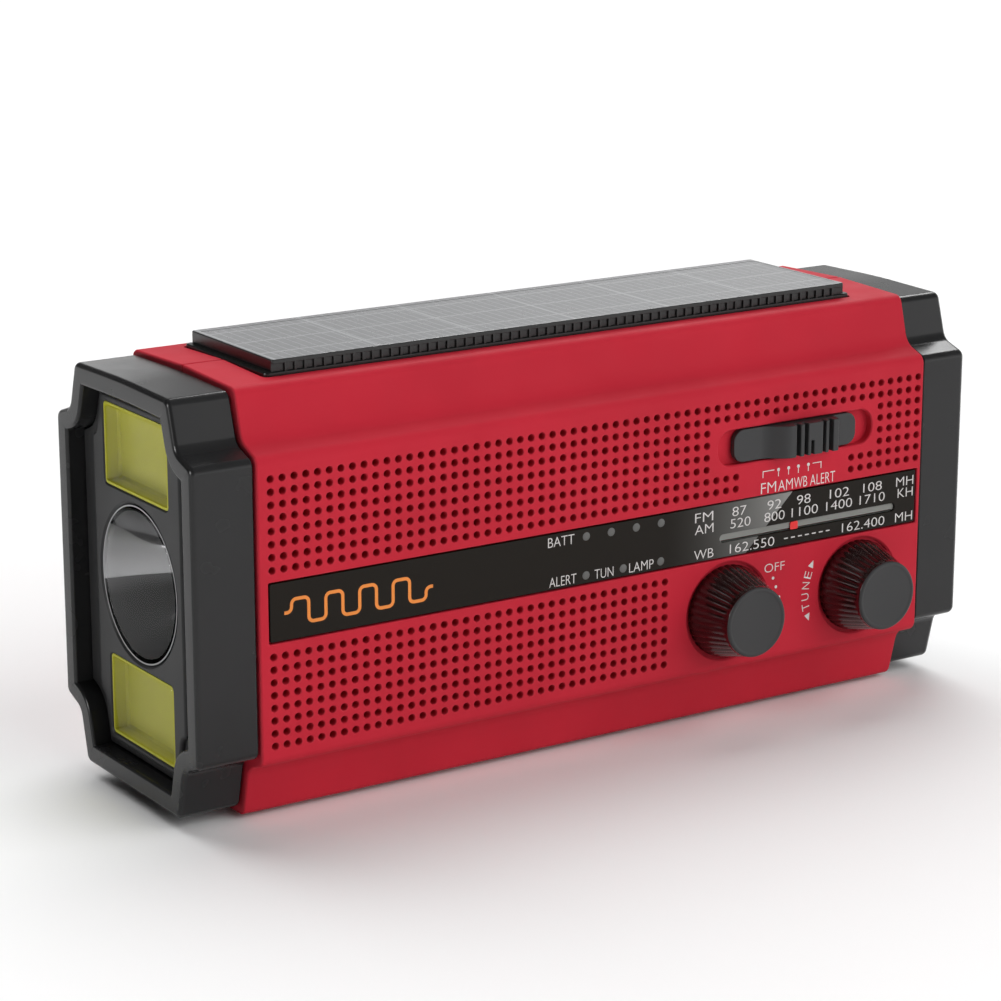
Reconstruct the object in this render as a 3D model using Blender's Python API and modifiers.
"""Emergency radio with crank, solar and battery power, a torch end and two lamps.

Lengths below are millimetres, scaled to metres where meshes are made. +Z is up, the front
panel faces -Y, the torch end faces -X, and the radio stands on its foot pads at Z = 0.
"""

import math

import bmesh
import bpy
from mathutils import Matrix, Vector

MM = 0.001
GAP = 0.3  # clearance between neighbouring pieces

# Case, as a prism along X
DEPTH = 51.4
HALF_DEPTH = DEPTH / 2
BASE_Z = 0.8
SHELL_X = (-71.1, 72.4)
CASE_X = (-83.0, 83.0)
WALL = 2.4
# One quarter of the case outline: (distance from the middle plane, height, fillet radius)
SHELL_TOP = ((25.7, 65.5, 2.0), (20.7, 67.4, 3.5), (18.4, 76.1, 1.8))
SHELL_BOTTOM = ((25.7, 12.0, 2.0), (20.7, 10.2, 3.5), (18.4, BASE_Z, 1.8))
SHELL_CROWN = (0.0, 76.7, 250.0)
CAP_TOP = ((25.2, 65.2, 1.6), (19.9, 67.0, 2.6), (17.4, 75.4, 1.6))
CAP_BOTTOM = ((25.2, 13.5, 1.6), (19.9, 11.5, 2.6), (17.7, 2.4, 1.6))
CAP_CROWN = (0.0, 75.8, 250.0)
SEAM = 0.15  # half the gap between the two shells
SPIGOT = 4.2  # how far each bumper reaches into the shells

# Torch end
RIM = 3.8
BEZEL_X = (-80.5, -75.8)
BEZEL_TOP = ((16.3, 62.6, 1.0), (14.6, 63.6, 1.6), (12.9, 70.9, 1.2))
BEZEL_BOTTOM = ((16.3, 16.2, 1.0), (14.6, 15.2, 1.6), (12.9, 7.9, 1.2))
TORCH_Z = 39.1
TORCH_HOLE = 14.1
REFLECTOR_R = 13.8
LAMP_SIZE = (23.7, 14.8)
LAMP_Z = {"upper": 62.1, "lower": 16.6}
POCKET_FLOOR_X = -77.0

# Front panel
STRIP_X = (-69.0, 71.2)
STRIP_Z = (33.5, 43.7)
STRIP_DEEP = 1.4
KNOB_X = {"volume": 26.9, "tuning": 57.6}
KNOB_Z = 23.1
KNOB_R = 8.75
KNOB_TIP_Y = -34.5
SPINDLE_R = 3.0
SWITCH_X = 42.0
SWITCH_Z = 53.95
SWITCH_SIZE = (36.0, 6.7)
SLIDER_SIZE = (28.4, 6.1)
POINTER_X = 42.1
POINTER_SLOT_X = (24.0, 67.5)
POINTER_SLOT_Z = (36.0, 38.2)
DRUM_R = 7.26
PULLEY_R = 3.0
PULLEY_X = {"left": 21.5, "right": 65.5}
PULLEY_Z = 33.5
CORD_Y = -19.6
CORD_R = 0.4
SPEAKER = (-36.0, 38.8)
SPEAKER_R = 20.0

# Top
SOLAR_X = (-63.0, 63.0)
SOLAR_Y = 14.5
SOLAR_Z = (75.9, 79.0)
SOLAR_SEAT_Z = 75.6
CELL_INSET = 1.8

# Rear: crank and gear train
CRANK = (-26.0, 38.8)
CRANK_REACH = 35.0
ARM_Y = (26.2, 33.0)
GRIP_Y = 30.6
GRIP_R = 3.9
MODULE = 0.8
TEETH = {"crank": 40, "cluster_small": 12, "cluster_large": 36, "dynamo": 12}
CLUSTER_ANGLE = -45.0
FIRST_LAYER_Y = (18.8, 21.8)
SECOND_LAYER_Y = (14.4, 17.4)
PLATE_Y = (10.6, 12.4)

# Rear: doors, buttons, antenna
BATTERY_X = (18.8, 65.2)
BATTERY_Z = (13.6, 47.4)
BATTERY_FLOOR_Y = 12.2
DOOR_LAP = 1.4
DOOR_Y = (24.3, 25.6)
PORT_X = (27.0, 53.0)
PORT_Z = (51.5, 60.7)
PORT_FLOOR_Z = 53.6
BUTTON_X = -60.5
BUTTON_Z = {"lamp": 50.4, "sos": 27.2}
BUTTON_R = 4.0
# Each screw's X and Z, and how far back its well opens: one is under the battery bay's floor
SCREWS = ((-60.0, 16.0, 24.7), (-60.0, 61.0, 24.7), (62.0, 57.0, 24.7), (42.0, 15.5, 12.0))
FOOT_X = {"left": (-62.0, -40.0), "right": (40.0, 62.0)}
FOOT_Y = 12.0
ANTENNA = (66.0, 23.4, 71.2)
ANTENNA_TIP_X = -50.0
TUBE_RADII = ((2.3, 1.95), (1.85, 1.5), (1.4, 0.0))

RED = ((0.52, 0.035, 0.055), 0.42, 0.0)
BLACK = ((0.022, 0.022, 0.023), 0.35, 0.0)
GREY = ((0.10, 0.10, 0.10), 0.45, 0.0)
GLOSS = ((0.012, 0.012, 0.013), 0.12, 0.0)
CLEAR = ((0.85, 0.88, 0.9), 0.05, 0.0)
CHROME = ((0.8, 0.8, 0.8), 0.08, 1.0)
STEEL = ((0.55, 0.55, 0.56), 0.3, 1.0)
BRASS = ((0.7, 0.5, 0.2), 0.35, 1.0)
BOARD = ((0.02, 0.16, 0.06), 0.5, 0.0)
PHOSPHOR = ((0.33, 0.33, 0.07), 0.5, 0.0)
RUBBER = ((0.02, 0.02, 0.02), 0.8, 0.0)
NYLON = ((0.8, 0.78, 0.7), 0.5, 0.0)
BLUE = ((0.02, 0.06, 0.3), 0.4, 0.0)
PAPER = ((0.03, 0.03, 0.03), 0.9, 0.0)

# Which way an outline's own axes point, for a prism along each world axis
TURNS = {
    "x": Matrix(((0, 0, 1), (1, 0, 0), (0, 1, 0))),
    "y": Matrix(((1, 0, 0), (0, 0, -1), (0, 1, 0))),
    "z": Matrix(((1, 0, 0), (0, 1, 0), (0, 0, 1))),
}


def clear_scene():
    for obj in list(bpy.data.objects):
        bpy.data.objects.remove(obj, do_unlink=True)


def collection(name):
    made = bpy.data.collections.new(name)
    bpy.context.scene.collection.children.link(made)
    return made


clear_scene()
PARTS = collection("emergency_radio")
CUTTERS = collection("cutters")


# ---------------------------------------------------------------- outlines


def offset(points, distance):
    """The outline with every side moved inwards; convex fillets shrink, concave ones grow."""
    moved = []
    count = len(points)
    for i, (u, v, radius) in enumerate(points):
        here = Vector((u, v))
        before = (here - Vector(points[i - 1][:2])).normalized()
        after = (Vector(points[(i + 1) % count][:2]) - here).normalized()
        inward = Vector((-before.y, before.x)) + Vector((-after.y, after.x))
        corner = here + inward * distance / (1 + before.dot(after))
        turn = before.x * after.y - before.y * after.x
        kept = radius - distance if turn > 0 else radius + distance
        moved.append((corner.x, corner.y, max(kept, 0.4)))
    return moved


def rounded(points, steps=4):
    """Corners (u, v, radius) as a polyline with an arc at each corner."""
    line = []
    count = len(points)
    for i, (u, v, radius) in enumerate(points):
        here = Vector((u, v))
        back = (Vector(points[i - 1][:2]) - here).normalized()
        on = (Vector(points[(i + 1) % count][:2]) - here).normalized()
        half = back.angle(on) / 2
        if radius <= 0 or half > math.radians(89.9):
            line.append((u, v))
            continue
        reach = radius / math.tan(half)
        centre = here + (back + on).normalized() * radius / math.sin(half)
        first = here + back * reach - centre
        sweep = math.pi - 2 * half
        sign = 1 if back.x * on.y - back.y * on.x < 0 else -1
        for k in range(steps + 1):
            turned = Matrix.Rotation(sign * sweep * k / steps, 2) @ first
            line.append(tuple(centre + turned))
    return line


def mirrored(top, bottom, crown=None):
    """A symmetric outline, counter-clockwise, from its quarter corners."""
    right = list(bottom[::-1]) + list(top)
    left = [(-u, v, r) for u, v, r in right[::-1]]
    return right + ([crown] if crown else []) + left


def rectangle(low, high, radius=0.0):
    return [
        (low[0], low[1], radius),
        (high[0], low[1], radius),
        (high[0], high[1], radius),
        (low[0], high[1], radius),
    ]


def centred(middle, size, radius=0.0):
    u, v = middle
    du, dv = size[0] / 2, size[1] / 2
    return rectangle((u - du, v - dv), (u + du, v + dv), radius)


def circle(middle, radius, sides=24):
    angles = [2 * math.pi * k / sides for k in range(sides)]
    return [
        (middle[0] + radius * math.cos(a), middle[1] + radius * math.sin(a))
        for a in angles
    ]


def gear_outline(middle, teeth, phase):
    """Straight-sided teeth with backlash; a tooth points along phase, in degrees."""
    pitch = 2 * math.pi / teeth
    root = MODULE * (teeth / 2 - 1.2)
    tip = MODULE * (teeth / 2 + 0.85)
    line = []
    for k in range(teeth):
        a = math.radians(phase) + k * pitch
        for radius, share in ((root, -0.3), (tip, -0.1), (tip, 0.1), (root, 0.3)):
            angle = a + share * pitch
            line.append(
                (middle[0] + radius * math.cos(angle), middle[1] + radius * math.sin(angle))
            )
    return line


# ---------------------------------------------------------------- solids


def paint(obj, finish):
    colour, roughness, metallic = finish
    material = bpy.data.materials.new(obj.name)
    material.use_nodes = True
    shader = material.node_tree.nodes["Principled BSDF"]
    shader.inputs["Base Color"].default_value = (*colour, 1.0)
    shader.inputs["Roughness"].default_value = roughness
    shader.inputs["Metallic"].default_value = metallic
    obj.data.materials.clear()
    obj.data.materials.append(material)


def place(name, mesh, matrix, finish):
    """A part with a finish, or a hidden helper without one."""
    obj = bpy.data.objects.new(name, mesh)
    obj.matrix_world = matrix
    if finish:
        PARTS.objects.link(obj)
        paint(obj, finish)
        mesh.shade_smooth()
        mesh.set_sharp_from_angle(angle=math.radians(35))
    else:
        CUTTERS.objects.link(obj)
        obj.hide_render = True
        obj.display_type = "WIRE"
    return obj


def frame_at(axis, point):
    return Matrix.Translation(Vector(point) * MM) @ TURNS[axis].to_4x4()


def prism(name, outlines, axis, low, high, finish=None):
    """Outlines, the first the outer one and the rest holes, between low and high on the axis."""
    curve = bpy.data.curves.new(name, "CURVE")
    curve.dimensions = "2D"
    curve.fill_mode = "BOTH"
    curve.extrude = (high - low) / 2 * MM
    for outline in outlines:
        spline = curve.splines.new("POLY")
        spline.points.add(len(outline) - 1)
        for point, (u, v) in zip(spline.points, outline):
            point.co = (u * MM, v * MM, 0, 1)
        spline.use_cyclic_u = True
    flat = bpy.data.objects.new(name + "_outline", curve)
    CUTTERS.objects.link(flat)
    middle = (low + high) / 2
    flat.matrix_world = frame_at(axis, [middle if a == axis else 0 for a in "xyz"])
    bpy.context.view_layer.update()
    mesh = bpy.data.meshes.new_from_object(
        flat.evaluated_get(bpy.context.evaluated_depsgraph_get())
    )
    matrix = flat.matrix_world.copy()
    bpy.data.objects.remove(flat)
    work = bmesh.new()
    work.from_mesh(mesh)
    bmesh.ops.remove_doubles(work, verts=work.verts, dist=1e-6)
    bmesh.ops.recalc_face_normals(work, faces=work.faces)
    work.to_mesh(mesh)
    work.free()
    return place(name, mesh, matrix, finish)


def box(name, low, high, finish=None):
    mesh = bpy.data.meshes.new(name)
    work = bmesh.new()
    bmesh.ops.create_cube(work, size=MM)
    size = [h - l for l, h in zip(low, high)]
    bmesh.ops.scale(work, vec=size, verts=work.verts)
    work.to_mesh(mesh)
    work.free()
    middle = [(l + h) / 2 for l, h in zip(low, high)]
    return place(name, mesh, Matrix.Translation(Vector(middle) * MM), finish)


def rod(name, axis, middle, radius, low, high, finish=None, sides=16):
    """A cylinder along an axis; middle gives its two other coordinates in X, Y, Z order."""
    mesh = bpy.data.meshes.new(name)
    work = bmesh.new()
    bmesh.ops.create_cone(
        work,
        cap_ends=True,
        segments=sides,
        radius1=radius * MM,
        radius2=radius * MM,
        depth=(high - low) * MM,
    )
    work.to_mesh(mesh)
    work.free()
    point = list(middle)
    point.insert("xyz".index(axis), (low + high) / 2)
    return place(name, mesh, frame_at(axis, point), finish)


def turned(name, axis, middle, profile, finish=None, steps=24, ring=False):
    """A profile of (radius, place on the axis) turned about the axis, closed if it is a ring."""
    flip = -1 if axis == "y" else 1
    points = [(r, flip * w) for r, w in profile]
    area = sum(
        a[0] * b[1] - b[0] * a[1] for a, b in zip(points, points[1:] + points[:1])
    )
    if area > 0:
        points.reverse()
    mesh = bpy.data.meshes.new(name)
    edges = [(k, k + 1) for k in range(len(points) - 1)]
    if ring:
        edges.append((len(points) - 1, 0))
    mesh.from_pydata([(r * MM, 0, w * MM) for r, w in points], edges, [])
    point = list(middle)
    point.insert("xyz".index(axis), 0)
    obj = place(name, mesh, frame_at(axis, point), finish)
    screw = obj.modifiers.new("turn", "SCREW")
    screw.steps = screw.render_steps = steps
    screw.use_merge_vertices = True
    screw.merge_threshold = 1e-5
    screw.use_smooth_shade = True
    return obj


def combine(obj, operation, others):
    for other in others:
        step = obj.modifiers.new(other.name, "BOOLEAN")
        step.operation = operation
        step.object = other
        step.solver = "EXACT"
    return obj


def cut(obj, *others):
    return combine(obj, "DIFFERENCE", others)


def join(obj, *others):
    return combine(obj, "UNION", others)


def put_origin(obj, point):
    """Moves a piece's origin to a point on its joint's axis, and leaves the piece where it is."""
    target = Matrix.Translation(Vector(point) * MM)
    obj.data.transform(target.inverted() @ obj.matrix_world)
    obj.matrix_world = target


# ---------------------------------------------------------------- case


def shell_outline(inset=0.0):
    return rounded(offset(mirrored(SHELL_TOP, SHELL_BOTTOM, SHELL_CROWN), inset))


def cap_outline(inset=0.0):
    return rounded(offset(mirrored(CAP_TOP, CAP_BOTTOM, CAP_CROWN), inset))


def half_shell(name, side):
    outlines = [shell_outline(), shell_outline(WALL)]
    shell = prism(name, outlines, "x", *SHELL_X, finish=RED)
    far = sorted((side * SEAM, -side * (HALF_DEPTH + 1)))
    away = box(name + "_other_half", (-90, far[0], -5), (90, far[1], 90))
    seat = box(
        name + "_solar_seat",
        (SOLAR_X[0] - GAP, -SOLAR_Y - GAP, SOLAR_SEAT_Z),
        (SOLAR_X[1] + GAP, SOLAR_Y + GAP, 80),
    )
    feet = [
        box(
            f"{name}_{foot}_foot_seat",
            (low - GAP, -FOOT_Y - GAP, -1),
            (high + GAP, FOOT_Y + GAP, 1.6),
        )
        for foot, (low, high) in FOOT_X.items()
    ]
    return cut(shell, away, seat, *feet)


def front_shell():
    shell = half_shell("front_shell", -1)
    face = -HALF_DEPTH
    back = face + WALL + 1
    strip = box(
        "strip_recess",
        (STRIP_X[0] - GAP, face - 1, STRIP_Z[0] - GAP),
        (STRIP_X[1] + GAP, face + STRIP_DEEP, STRIP_Z[1] + GAP),
    )
    slot = box(
        "pointer_slot",
        (POINTER_SLOT_X[0], face, POINTER_SLOT_Z[0]),
        (POINTER_SLOT_X[1], back, POINTER_SLOT_Z[1]),
    )
    lights = [
        box(f"light_slot_{k}", (-6.2, face, z - 1), (12.6, back, z + 1))
        for k, z in enumerate((42.2, 35.0))
    ]
    recess = prism(
        "switch_recess",
        [rounded(centred((SWITCH_X, SWITCH_Z), SWITCH_SIZE, 3.0))],
        "y",
        face - 1,
        face + 1.6,
    )
    stem_slot = box("stem_slot", (34.5, face, 52.9), (49.5, back, 55.0))
    cut(shell, strip, slot, *lights, recess, stem_slot)
    for which, x in KNOB_X.items():
        middle = (x, KNOB_Z)
        seat = rod(f"{which}_knob_seat", "y", middle, 9.25, face - 1, face + 0.8, sides=24)
        hole = rod(f"{which}_spindle_hole", "y", middle, 3.7, face, back)
        cut(shell, seat, hole)
    for k, (x, z, _) in enumerate(SCREWS):
        boss = rod(f"front_boss_{k}", "y", (x, z), 3.0, face + 1.8, -0.6, sides=12)
        pilot = rod(f"front_pilot_{k}", "y", (x, z), 1.3, -12, 1, sides=12)
        join(shell, boss)
        cut(shell, pilot)
    for side, x in PULLEY_X.items():
        middle = (x, PULLEY_Z)
        join(shell, rod(f"pulley_pin_{side}", "y", middle, 1.2, face + 1.8, -18.4, sides=12))


def rear_shell():
    shell = half_shell("rear_shell", 1)
    face = HALF_DEPTH
    inside = face - WALL - 1
    bay_low = (BATTERY_X[0] - 1.2, BATTERY_FLOOR_Y - 1.2, BATTERY_Z[0] - 1.2)
    bay_high = (BATTERY_X[1] + 1.2, face - 1.2, BATTERY_Z[1] + 1.2)
    join(shell, box("battery_bay", bay_low, bay_high))
    for k, (x, z, end) in enumerate(SCREWS):
        boss = rod(f"rear_boss_{k}", "y", (x, z), 3.4, -0.2, end, sides=12)
        bore = rod(f"rear_bore_{k}", "y", (x, z), 2.6, 6.0, end + 1.5, sides=12)
        hole = rod(f"rear_hole_{k}", "y", (x, z), 1.3, -1, 7, sides=12)
        join(shell, boss)
        cut(shell, bore, hole)
    room = box(
        "battery_room",
        (BATTERY_X[0], BATTERY_FLOOR_Y, BATTERY_Z[0]),
        (BATTERY_X[1], face + 1, BATTERY_Z[1]),
    )
    door_seat = seat_cutter("battery_door_seat", BATTERY_X, BATTERY_Z)
    port_seat = seat_cutter("port_cover_seat", PORT_X, PORT_Z)
    port_hole = box("port_hole", (PORT_X[0], inside, 53.0), (PORT_X[1], face, 60.0))
    axle = rod("axle_hole", "y", CRANK, 3.3, inside, face + 1)
    cut(shell, room, door_seat, port_seat, port_hole, axle)
    for which, z in BUTTON_Z.items():
        hole = rod(f"{which}_button_hole", "y", (BUTTON_X, z), BUTTON_R + GAP, inside, face + 1)
        cut(shell, hole)
    x, y, _ = ANTENNA
    join(shell, box("antenna_boss", (x - 3, 20.0, 65.6), (x + 3, y + 1.9, 68.6)))
    cut(shell, rod("swivel_bore", "z", (x, y), 1.4, 66.9, 70, sides=12))


def seat_cutter(name, x, z):
    """A shallow rebate that a flush door lies in."""
    return box(
        name,
        (x[0] - DOOR_LAP, DOOR_Y[0] - GAP, z[0] - DOOR_LAP),
        (x[1] + DOOR_LAP, HALF_DEPTH + 1, z[1] + DOOR_LAP),
    )


def torch_bumper():
    inner = SHELL_X[0] - GAP
    cap = prism("torch_bumper", [cap_outline()], "x", CASE_X[0], inner, finish=BLACK)
    spigot = prism(
        "torch_spigot",
        [shell_outline(WALL + GAP)],
        "x",
        inner - 1,
        inner + SPIGOT,
    )
    recess = prism("rim_recess", [cap_outline(RIM)], "x", CASE_X[0] - 1, BEZEL_X[1] + GAP)
    room = prism("torch_room", [shell_outline(WALL + GAP + 1.6)], "x", -73.3, inner + SPIGOT + 1)
    hole = rod("reflector_hole", "x", (0, TORCH_Z), 14.6, -80, -70, sides=32)
    cut(join(cap, spigot), recess, room, hole)


def end_bumper():
    inner = SHELL_X[1] + GAP
    cap = prism("end_bumper", [cap_outline()], "x", inner, CASE_X[1], finish=BLACK)
    spigot = prism("end_spigot", [shell_outline(WALL + GAP)], "x", inner - SPIGOT, inner + 1)
    room = prism(
        "end_room",
        [shell_outline(WALL + GAP + 1.6)],
        "x",
        inner - SPIGOT - 1,
        CASE_X[1] - 2.5,
    )
    cut(join(cap, spigot), room)


def case_screws():
    for k, (x, z, _) in enumerate(SCREWS):
        screw = rod(f"case_screw_{k + 1}", "y", (x, z), 2.3, 6.3, 7.9, STEEL, sides=12)
        shank = rod(f"screw_shank_{k}", "y", (x, z), 1.0, -10.5, 6.6, sides=8)
        cross = [
            box(f"screw_cross_{k}_{n}", (x - u, 7.2, z - v), (x + u, 9, z + v))
            for n, (u, v) in enumerate(((1.3, 0.3), (0.3, 1.3)))
        ]
        cut(join(screw, shank), *cross)


def foot_pads():
    for side, (low, high) in FOOT_X.items():
        outline = rounded(rectangle((low, -FOOT_Y), (high, FOOT_Y), 3.0))
        prism(f"foot_pad_{side}", [outline], "z", 0.0, 1.3, finish=RUBBER)


# ---------------------------------------------------------------- torch end


def lamp_bezel():
    outline = rounded(mirrored(BEZEL_TOP, BEZEL_BOTTOM))
    hole = circle((0, TORCH_Z), TORCH_HOLE, 32)
    bezel = prism("lamp_bezel", [outline, hole], "x", *BEZEL_X, finish=GREY)
    for which, z in LAMP_Z.items():
        window = rounded(centred((0, z), LAMP_SIZE, 1.0), 2)
        cut(bezel, prism(f"{which}_pocket", [window], "x", BEZEL_X[0] - 1, POCKET_FLOOR_X))
        size = [s - 2 * GAP for s in LAMP_SIZE]
        panel = rounded(centred((0, z), size, 0.8), 2)
        prism(f"{which}_lamp_panel", [panel], "x", -78.4, POCKET_FLOOR_X - GAP, finish=PHOSPHOR)
        prism(f"{which}_lamp_lens", [panel], "x", -80.3, -79.3, finish=CLEAR)


def torch():
    middle = (0, TORCH_Z)
    front, back = -80.3, -64.0
    bowl = (
        (REFLECTOR_R, front),
        (REFLECTOR_R, -78.6),
        (4.6, back),
        (2.6, back),
        (2.6, back - 0.6),
        (12.6, -79.0),
        (13.3, -79.0),
        (13.3, front),
    )
    turned("torch_reflector", "x", middle, bowl, CHROME, steps=32, ring=True)
    rod("torch_lens", "x", middle, 13.0, -80.2, -79.3, CLEAR, sides=32)
    board = rod("torch_led_board", "x", middle, 6.0, back + GAP, back + 1.7, BOARD)
    join(board, rod("torch_led", "x", middle, 1.7, back - 1.4, back + 0.6, sides=12))


# ---------------------------------------------------------------- front panel


def dial():
    face = -HALF_DEPTH
    box(
        "dial_window",
        (STRIP_X[0], face + 0.1, STRIP_Z[0]),
        (STRIP_X[1], face + STRIP_DEEP - GAP, STRIP_Z[1]),
        GLOSS,
    )
    x = POINTER_X
    pointer = box("dial_pointer", (x - 2, -22.9, 34.9), (x + 2, -20.9, 39.5), RED)
    join(pointer, box("pointer_tip", (x - 0.8, -24.0, 36.3), (x + 0.8, -22.5, 37.9)))
    for side, x in PULLEY_X.items():
        wheel = (
            (1.5, -20.6),
            (PULLEY_R + 0.6, -20.6),
            (PULLEY_R - CORD_R - GAP, CORD_Y),
            (PULLEY_R + 0.6, -18.6),
            (1.5, -18.6),
        )
        turned(f"cord_pulley_{side}", "y", (x, PULLEY_Z), wheel, NYLON, steps=16, ring=True)
    cord_loop()
    board = box("indicator_board", (-8, -22.7, 33.6), (15, -21.5, 43.6), BOARD)
    for k, (x, z) in enumerate(indicator_places()):
        join(board, rod(f"indicator_{k}", "y", (x, z), 0.75, -24.0, -22.2, sides=8))


def indicator_places():
    battery = [(x, 42.2) for x in (-4.9, 0.5, 6.0, 11.5)]
    return battery + [(x, 35.0) for x in (-4.9, 3.2, 11.5)]


def cord_loop():
    """The cord as a belt round the drum and both pulleys, in the plane Y = CORD_Y."""
    wheels = (
        (Vector((PULLEY_X["left"], PULLEY_Z)), PULLEY_R),
        (Vector((PULLEY_X["right"], PULLEY_Z)), PULLEY_R),
        (Vector((KNOB_X["tuning"], KNOB_Z)), DRUM_R),
    )
    normals = []
    for k, (here, radius) in enumerate(wheels):
        there, other = wheels[(k + 1) % 3]
        line = there - here
        lean = math.asin((radius - other) / line.length)
        normals.append(math.atan2(line.y, line.x) + math.pi / 2 - lean)
    line = []
    for k, (here, radius) in enumerate(wheels):
        start, end = normals[k - 1], normals[k]
        sweep = (start - end) % (2 * math.pi)
        count = max(2, round(sweep / 0.35))
        for n in range(count + 1):
            angle = start - sweep * n / count
            line.append(here + radius * Vector((math.cos(angle), math.sin(angle))))
    curve = bpy.data.curves.new("dial_cord", "CURVE")
    curve.dimensions = "3D"
    curve.bevel_depth = CORD_R * MM
    curve.bevel_resolution = 1
    spline = curve.splines.new("POLY")
    spline.points.add(len(line) - 1)
    for point, (x, z) in zip(spline.points, line):
        point.co = (x * MM, CORD_Y * MM, z * MM, 1)
    spline.use_cyclic_u = True
    cord = bpy.data.objects.new("dial_cord", curve)
    PARTS.objects.link(cord)
    paint(cord, NYLON)


def knob(which):
    x = KNOB_X[which]
    profile = (
        (0, KNOB_TIP_Y),
        (6.2, KNOB_TIP_Y),
        (6.6, KNOB_TIP_Y + 0.4),
        (8.4, -27.2),
        (KNOB_R, -26.4),
        (KNOB_R, -25.2),
        (SPINDLE_R + GAP, -25.2),
        (SPINDLE_R + GAP, -31.0),
        (0, -31.0),
    )
    turned(f"{which}_knob", "y", (x, KNOB_Z), profile, GLOSS, steps=24)


def volume_parts():
    x = KNOB_X["volume"]
    knob("volume")
    rod("volume_spindle", "y", (x, KNOB_Z), SPINDLE_R, -30.7, -16.0, STEEL)
    body = rod("volume_control", "y", (x, KNOB_Z), 8.0, -18.8, -13.1, STEEL)
    cut(body, rod("volume_bore", "y", (x, KNOB_Z), SPINDLE_R + GAP, -20, -15.7))


def tuning_parts():
    x = KNOB_X["tuning"]
    knob("tuning")
    groove = DRUM_R - CORD_R - GAP
    spindle = (
        (0, -30.7),
        (SPINDLE_R, -30.7),
        (SPINDLE_R, -20.7),
        (DRUM_R + 0.5, -20.7),
        (groove, -20.2),
        (groove, -19.0),
        (DRUM_R + 0.5, -18.5),
        (SPINDLE_R, -18.5),
        (SPINDLE_R, -16.0),
        (0, -16.0),
    )
    turned("tuning_spindle", "y", (x, KNOB_Z), spindle, BRASS)
    low, high = (x - 8.5, -18.0, KNOB_Z - 8.5), (x + 8.5, -13.1, KNOB_Z + 8.5)
    body = box("tuning_control", low, high, NYLON)
    cut(body, rod("tuning_bore", "y", (x, KNOB_Z), SPINDLE_R + GAP, -20, -15.7))


def band_parts():
    face = -HALF_DEPTH
    middle = (SWITCH_X, SWITCH_Z)
    plate = rounded(centred(middle, SLIDER_SIZE, 2.7))
    slider = prism("band_slider", [plate], "y", face + 0.2, face + 1.3, finish=BLACK)
    thumb = box("slider_thumb", (34.4, face - 2.5, 51.6), (49.4, face + 0.7, 56.3))
    stem = box("slider_stem", (SWITCH_X - 3, face + 0.8, 53.2), (SWITCH_X + 3, -21.0, 54.7))
    join(slider, thumb, stem)
    body = box("band_switch", (32.5, -22.9, 50.9), (51.5, -18.0, 57.0), STEEL)
    cut(body, box("switch_channel", (34.6, -24, 52.9), (49.4, -20.7, 55.0)))


def speaker():
    frame = (
        (18.3, -23.0),
        (SPEAKER_R, -23.0),
        (SPEAKER_R, -22.0),
        (18.5, -22.0),
        (9.5, -14.0),
        (5.0, -14.0),
        (5.0, -14.8),
        (9.0, -14.8),
    )
    turned("speaker_frame", "y", SPEAKER, frame, STEEL, steps=24, ring=True)
    cone = (
        (0, -20.0),
        (3.0, -19.0),
        (17.0, -22.9),
        (17.0, -22.4),
        (4.4, -16.4),
        (4.4, -13.0),
        (0, -13.0),
    )
    turned("speaker_cone", "y", SPEAKER, cone, PAPER, steps=24)
    magnet = (
        (0, -12.4),
        (4.8, -12.4),
        (4.8, -13.7),
        (9.5, -13.7),
        (9.5, -8.0),
        (0, -8.0),
    )
    turned("speaker_magnet", "y", SPEAKER, magnet, STEEL, steps=16)


def boards():
    board = rectangle((-13, 11), (66, 52), 1.0)
    x, z, _ = SCREWS[3]
    outlines = [rounded(board, 1), circle((x, z), 3.5, 16)]
    prism("main_board", outlines, "y", -12.8, -11.2, finish=BOARD)
    rod("lithium_cell", "x", (-2.0, 63.6), 9.0, -10, 55, BLUE, sides=20)


# ---------------------------------------------------------------- top


def solar_panel():
    low, high = SOLAR_Z
    outline = rectangle((SOLAR_X[0], -SOLAR_Y), (SOLAR_X[1], SOLAR_Y), 0.8)
    frame = prism("solar_frame", [rounded(outline, 2)], "z", low, high, finish=BLACK)
    inner = offset(outline, CELL_INSET)
    cut(frame, prism("cell_seat", [rounded(inner, 1)], "z", high - 1.3, high + 1))
    cell = rounded(offset(outline, CELL_INSET + GAP), 1)
    prism("solar_cell", [cell], "z", high - 1.0, high - 0.15, finish=BLUE)


# ---------------------------------------------------------------- crank and dynamo


def cluster_centre():
    reach = MODULE * (TEETH["crank"] + TEETH["cluster_small"]) / 2
    angle = math.radians(CLUSTER_ANGLE)
    return (CRANK[0] + reach * math.cos(angle), CRANK[1] + reach * math.sin(angle))


def dynamo_centre():
    x, z = cluster_centre()
    return (x + MODULE * (TEETH["cluster_large"] + TEETH["dynamo"]) / 2, z)


def gear(name, middle, kind, phase, layer, finish=None):
    outline = gear_outline(middle, TEETH[kind], phase)
    return prism(name, [outline], "y", *layer, finish=finish)


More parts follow.
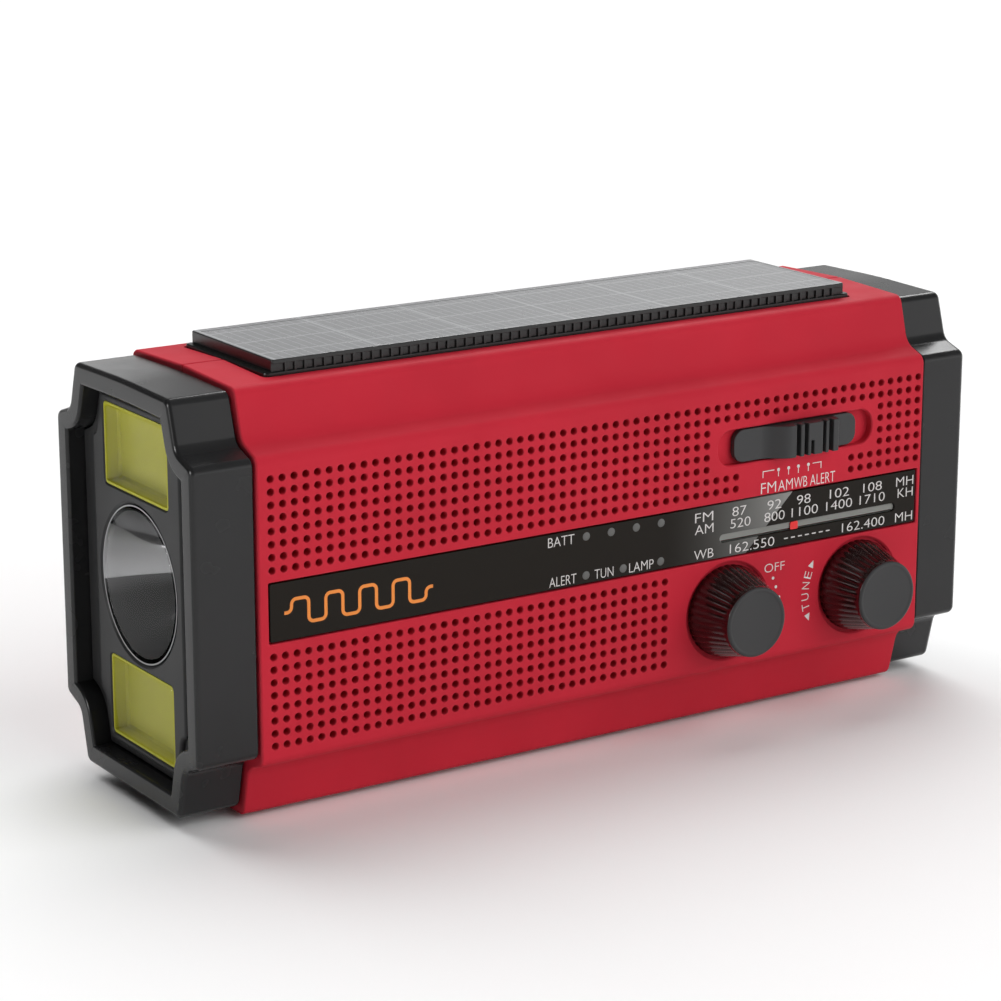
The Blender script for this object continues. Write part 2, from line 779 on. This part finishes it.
def gear_train():
    half_tooth = 180 / TEETH["cluster_small"]
    crank = gear("crank_gear", CRANK, "crank", CLUSTER_ANGLE, FIRST_LAYER_Y, NYLON)
    axle = rod("crank_axle", "y", CRANK, 3.0, 13.0, 30.6)
    stub = rod("crank_stub", "y", CRANK, 1.8, PLATE_Y[0] + 0.2, 13.5, sides=12)
    join(crank, axle, stub)

    middle = cluster_centre()
    phase = CLUSTER_ANGLE + 180 + half_tooth
    cluster = gear("gear_cluster", middle, "cluster_large", 0, SECOND_LAYER_Y, NYLON)
    layer = (SECOND_LAYER_Y[1] - 1, FIRST_LAYER_Y[1] + 0.2)
    small = gear("cluster_pinion", middle, "cluster_small", phase, layer)
    pin = rod("cluster_pin", "y", middle, 1.5, PLATE_Y[0] + 0.2, 23.0, sides=12)
    join(cluster, small, pin)

    middle = dynamo_centre()
    layer = (SECOND_LAYER_Y[0] - 0.2, SECOND_LAYER_Y[1] + 0.2)
    pinion = gear("dynamo_pinion", middle, "dynamo", 180 + half_tooth, layer, BRASS)
    join(pinion, rod("dynamo_shaft", "y", middle, 1.0, 7.8, 15.0, sides=12))
    motor = rod("dynamo_motor", "y", middle, 12.0, -6.0, PLATE_Y[0] - GAP, STEEL, sides=24)
    cut(motor, rod("motor_bore", "y", middle, 1.3, 7.5, 12, sides=12))


def gearbox_plate():
    outline = rounded(rectangle((-48, 6), (16, 54), 4.0))
    holes = [
        circle(CRANK, 2.1, 12),
        circle(cluster_centre(), 1.8, 12),
        circle(dynamo_centre(), 3.0, 12),
    ]
    plate = prism("gearbox_plate", [outline] + holes, "y", *PLATE_Y, finish=STEEL)
    for k, middle in enumerate(((-44.8, 28.0), (-6.0, 50.0), (12.4, 38.0))):
        join(plate, rod(f"gearbox_leg_{k}", "y", middle, 2.0, PLATE_Y[1] - 1, 23.0, sides=12))


def crank_arm():
    x, z = CRANK
    hinge_x = x - CRANK_REACH
    low, high = ARM_Y
    bar = rounded(rectangle((hinge_x - 2.8, z - 7), (x, z + 7), 1.5))
    arm = prism("crank_arm", [bar], "y", low, high, finish=BLACK)
    join(arm, rod("crank_hub", "y", CRANK, 9.5, low, high - 1.2, sides=24))
    slot = box("grip_slot", (hinge_x - 4, low - 1, z - 4.4), (x - 9, high + 1, z + 4.4))
    bore = rod("hub_bore", "y", CRANK, 3.3, low - 1, 30.9)
    pivot = rod("grip_pivot", "z", (hinge_x, GRIP_Y), 1.5, z - 8, z + 8, sides=12)
    cut(arm, slot, bore, pivot)


def crank_grip():
    x, z = CRANK
    hinge_x = x - CRANK_REACH
    yoke = rod("grip_yoke", "z", (hinge_x, GRIP_Y), 2.7, z - 4.1, z + 4.1, STEEL, sides=16)
    pin = rod("grip_pin", "z", (hinge_x, GRIP_Y), 1.2, z - 6.8, z + 6.8, sides=12)
    spindle = rod("grip_spindle", "x", (GRIP_Y, z), 1.4, hinge_x, x - 11.6, sides=12)
    join(yoke, pin, spindle)
    put_origin(yoke, (hinge_x, GRIP_Y, z))
    start, end = hinge_x + 3.2, x - 9.4
    grip = (
        (0, end - 1.9),
        (1.7, end - 1.9),
        (1.7, start),
        (3.4, start),
        (GRIP_R, start + 1.0),
        (GRIP_R, end - 1.4),
        (2.9, end),
        (0, end),
    )
    turned("crank_grip", "x", (GRIP_Y, z), grip, BLACK, steps=20)


# ---------------------------------------------------------------- rear panel


def flush_door(name, x, z, finish):
    """A door with its origin on the hinge line along its lower outer edge."""
    lap = DOOR_LAP - GAP
    low = (x[0] - lap, DOOR_Y[0], z[0] - lap)
    high = (x[1] + lap, DOOR_Y[1], z[1] + lap)
    door = box(name, low, high, finish)
    put_origin(door, (low[0], DOOR_Y[1], low[2]))
    return door


def battery_parts():
    flush_door("battery_door", BATTERY_X, BATTERY_Z, RED)
    for k in range(3):
        z = 19.3 + 11.2 * k
        cell = rod(f"aaa_cell_{k + 1}", "x", (17.9, z), 5.2, 19.4, 63.6, STEEL)
        join(cell, rod(f"cell_tip_{k}", "x", (17.9, z), 1.9, 63, 64.6, sides=12))


def ports():
    flush_door("port_cover", PORT_X, PORT_Z, RUBBER)
    low, depth = PORT_FLOOR_Z, (10.5, 23.6)
    usb = box("usb_port", (38.9, depth[0], low), (52.1, depth[1], low + 5.8), STEEL)
    cut(usb, box("usb_room", (39.3, 13, low + 0.4), (51.7, 25, low + 5.4)))
    join(usb, box("usb_tongue", (40.2, 12, low + 3.0), (50.8, 22.9, low + 4.8)))
    charge = rounded(rectangle((28.5, low), (37.5, low + 3.3), 1.4))
    socket = prism("charging_port", [charge], "y", 14.5, depth[1], finish=STEEL)
    room = rounded(rectangle((28.9, low + 0.4), (37.1, low + 2.9), 1.1))
    cut(socket, prism("charging_room", [room], "y", 16, 25))
    tongue = box("charging_tongue", (30.3, 15, low + 1.3), (35.7, 22.9, low + 2.0))
    join(socket, tongue)


def buttons():
    for which, z in BUTTON_Z.items():
        middle = (BUTTON_X, z)
        button = rod(f"{which}_button", "y", middle, BUTTON_R, 22.4, 25.9, RUBBER, sides=20)
        flange = rod(f"{which}_flange", "y", middle, 5.0, 21.6, 22.9, sides=20)
        join(button, flange)
        put_origin(button, (BUTTON_X, 25.9, z))


def antenna():
    x, y, z = ANTENNA
    yoke = rod("antenna_yoke", "z", (x, y), 2.3, 68.9, 69.6, STEEL)
    join(yoke, rod("swivel_pin", "z", (x, y), 1.1, 67.3, 69.2, sides=12))
    for k, side in enumerate((-1, 1)):
        near, far = sorted((y + side * 1.1, y + side * 2.1))
        ear = box(f"yoke_ear_{k}", (x - 1.6, near, 69.3), (x + 1.6, far, z + 1.7))
        join(yoke, ear)
    join(yoke, rod("tilt_pin", "y", (x, z), 0.55, y - 1.8, y + 1.8, sides=8))
    tubes()


def tubes():
    x, y, z = ANTENNA
    outer, bore = TUBE_RADII[0]
    first = rod("antenna_tube_1", "x", (y, z), outer, ANTENNA_TIP_X, x - 3, CHROME, sides=16)
    tab = box("tube_tab", (x - 3.5, y - 0.8, z - 1.1), (x + 1.1, y + 0.8, z + 1.1))
    hole = rod("tab_hole", "y", (x, z), 0.8, y - 2, y + 2, sides=8)
    hollow = rod("tube_1_bore", "x", (y, z), bore, ANTENNA_TIP_X - 1, x - 5, sides=16)
    cut(join(first, tab), hole, hollow)
    put_origin(first, ANTENNA)
    outer, bore = TUBE_RADII[1]
    start = ANTENNA_TIP_X - 1.0
    second = rod("antenna_tube_2", "x", (y, z), outer, start, x - 6, CHROME, sides=16)
    cut(second, rod("tube_2_bore", "x", (y, z), bore, start - 1, x - 8, sides=16))
    outer = TUBE_RADII[2][0]
    third = rod("antenna_tube_3", "x", (y, z), outer, start - 1.5, x - 9, CHROME, sides=16)
    join(third, rod("antenna_tip", "x", (y, z), 2.3, start - 5.0, start - 0.5, sides=16))


def main():
    front_shell()
    rear_shell()
    torch_bumper()
    end_bumper()
    case_screws()
    foot_pads()
    lamp_bezel()
    torch()
    dial()
    volume_parts()
    tuning_parts()
    band_parts()
    speaker()
    boards()
    solar_panel()
    gear_train()
    gearbox_plate()
    crank_arm()
    crank_grip()
    battery_parts()
    ports()
    buttons()
    antenna()


main()
